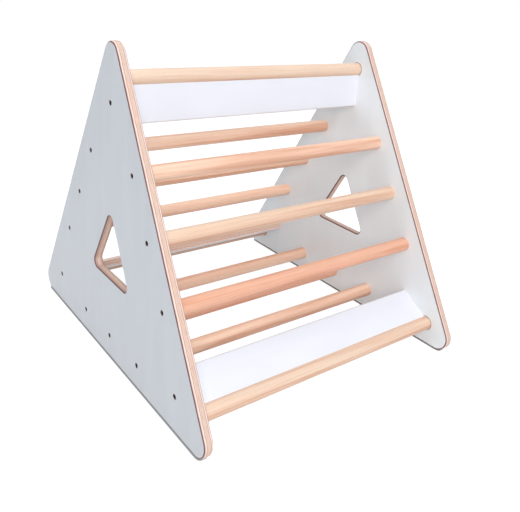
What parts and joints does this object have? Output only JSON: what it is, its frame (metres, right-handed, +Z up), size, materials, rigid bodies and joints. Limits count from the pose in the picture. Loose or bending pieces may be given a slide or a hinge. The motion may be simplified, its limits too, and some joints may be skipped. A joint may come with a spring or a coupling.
{
  "type": "climbing triangle",
  "caption": "Rigid climbing triangle for small children: two rounded triangular plywood panels with cut-outs, joined by round rungs and corner boards.",
  "frame": {"origin": "centre of the footprint, on the surface that the panels stand on", "axes": "+X along the rungs, -Y the front, +Y the back and the longest extent, +Z up and the shortest extent"},
  "size_m": [0.53, 0.6018, 0.528],
  "materials": {
    "birch_ply": "sanded and clear oiled, with the layers showing",
    "white_laminate": "smooth satin white with a dark edge line",
    "beech": "fine-grained and clear oiled",
    "dark_steel": "black-brown satin"
  },
  "bodies": {
    "root": {"left_panel_core": "birch_ply", "left_panel_outer_face": "white_laminate", "left_panel_inner_face": "white_laminate", "right_panel_core": "birch_ply", "right_panel_outer_face": "white_laminate", "right_panel_inner_face": "white_laminate", "top_board_core": "birch_ply", "top_board_front_face": "white_laminate", "top_board_rear_face": "white_laminate", "front_board_core": "birch_ply", "front_board_upper_face": "white_laminate", "front_board_lower_face": "white_laminate", "rear_board_core": "birch_ply", "rear_board_upper_face": "white_laminate", "rear_board_lower_face": "white_laminate", "top_corner_rung": "beech", "front_corner_rung": "beech", "rear_corner_rung": "beech", "front_upper_rung": "beech", "front_middle_rung": "beech", "front_lower_rung": "beech", "rear_upper_rung": "beech", "rear_middle_rung": "beech", "rear_lower_rung": "beech", "base_front_rung": "beech", "base_middle_rung": "beech", "base_rear_rung": "beech", "left_rung_screws": "dark_steel", "right_rung_screws": "dark_steel", "left_board_screws": "dark_steel", "right_board_screws": "dark_steel"}
  },
  "joints": []
}
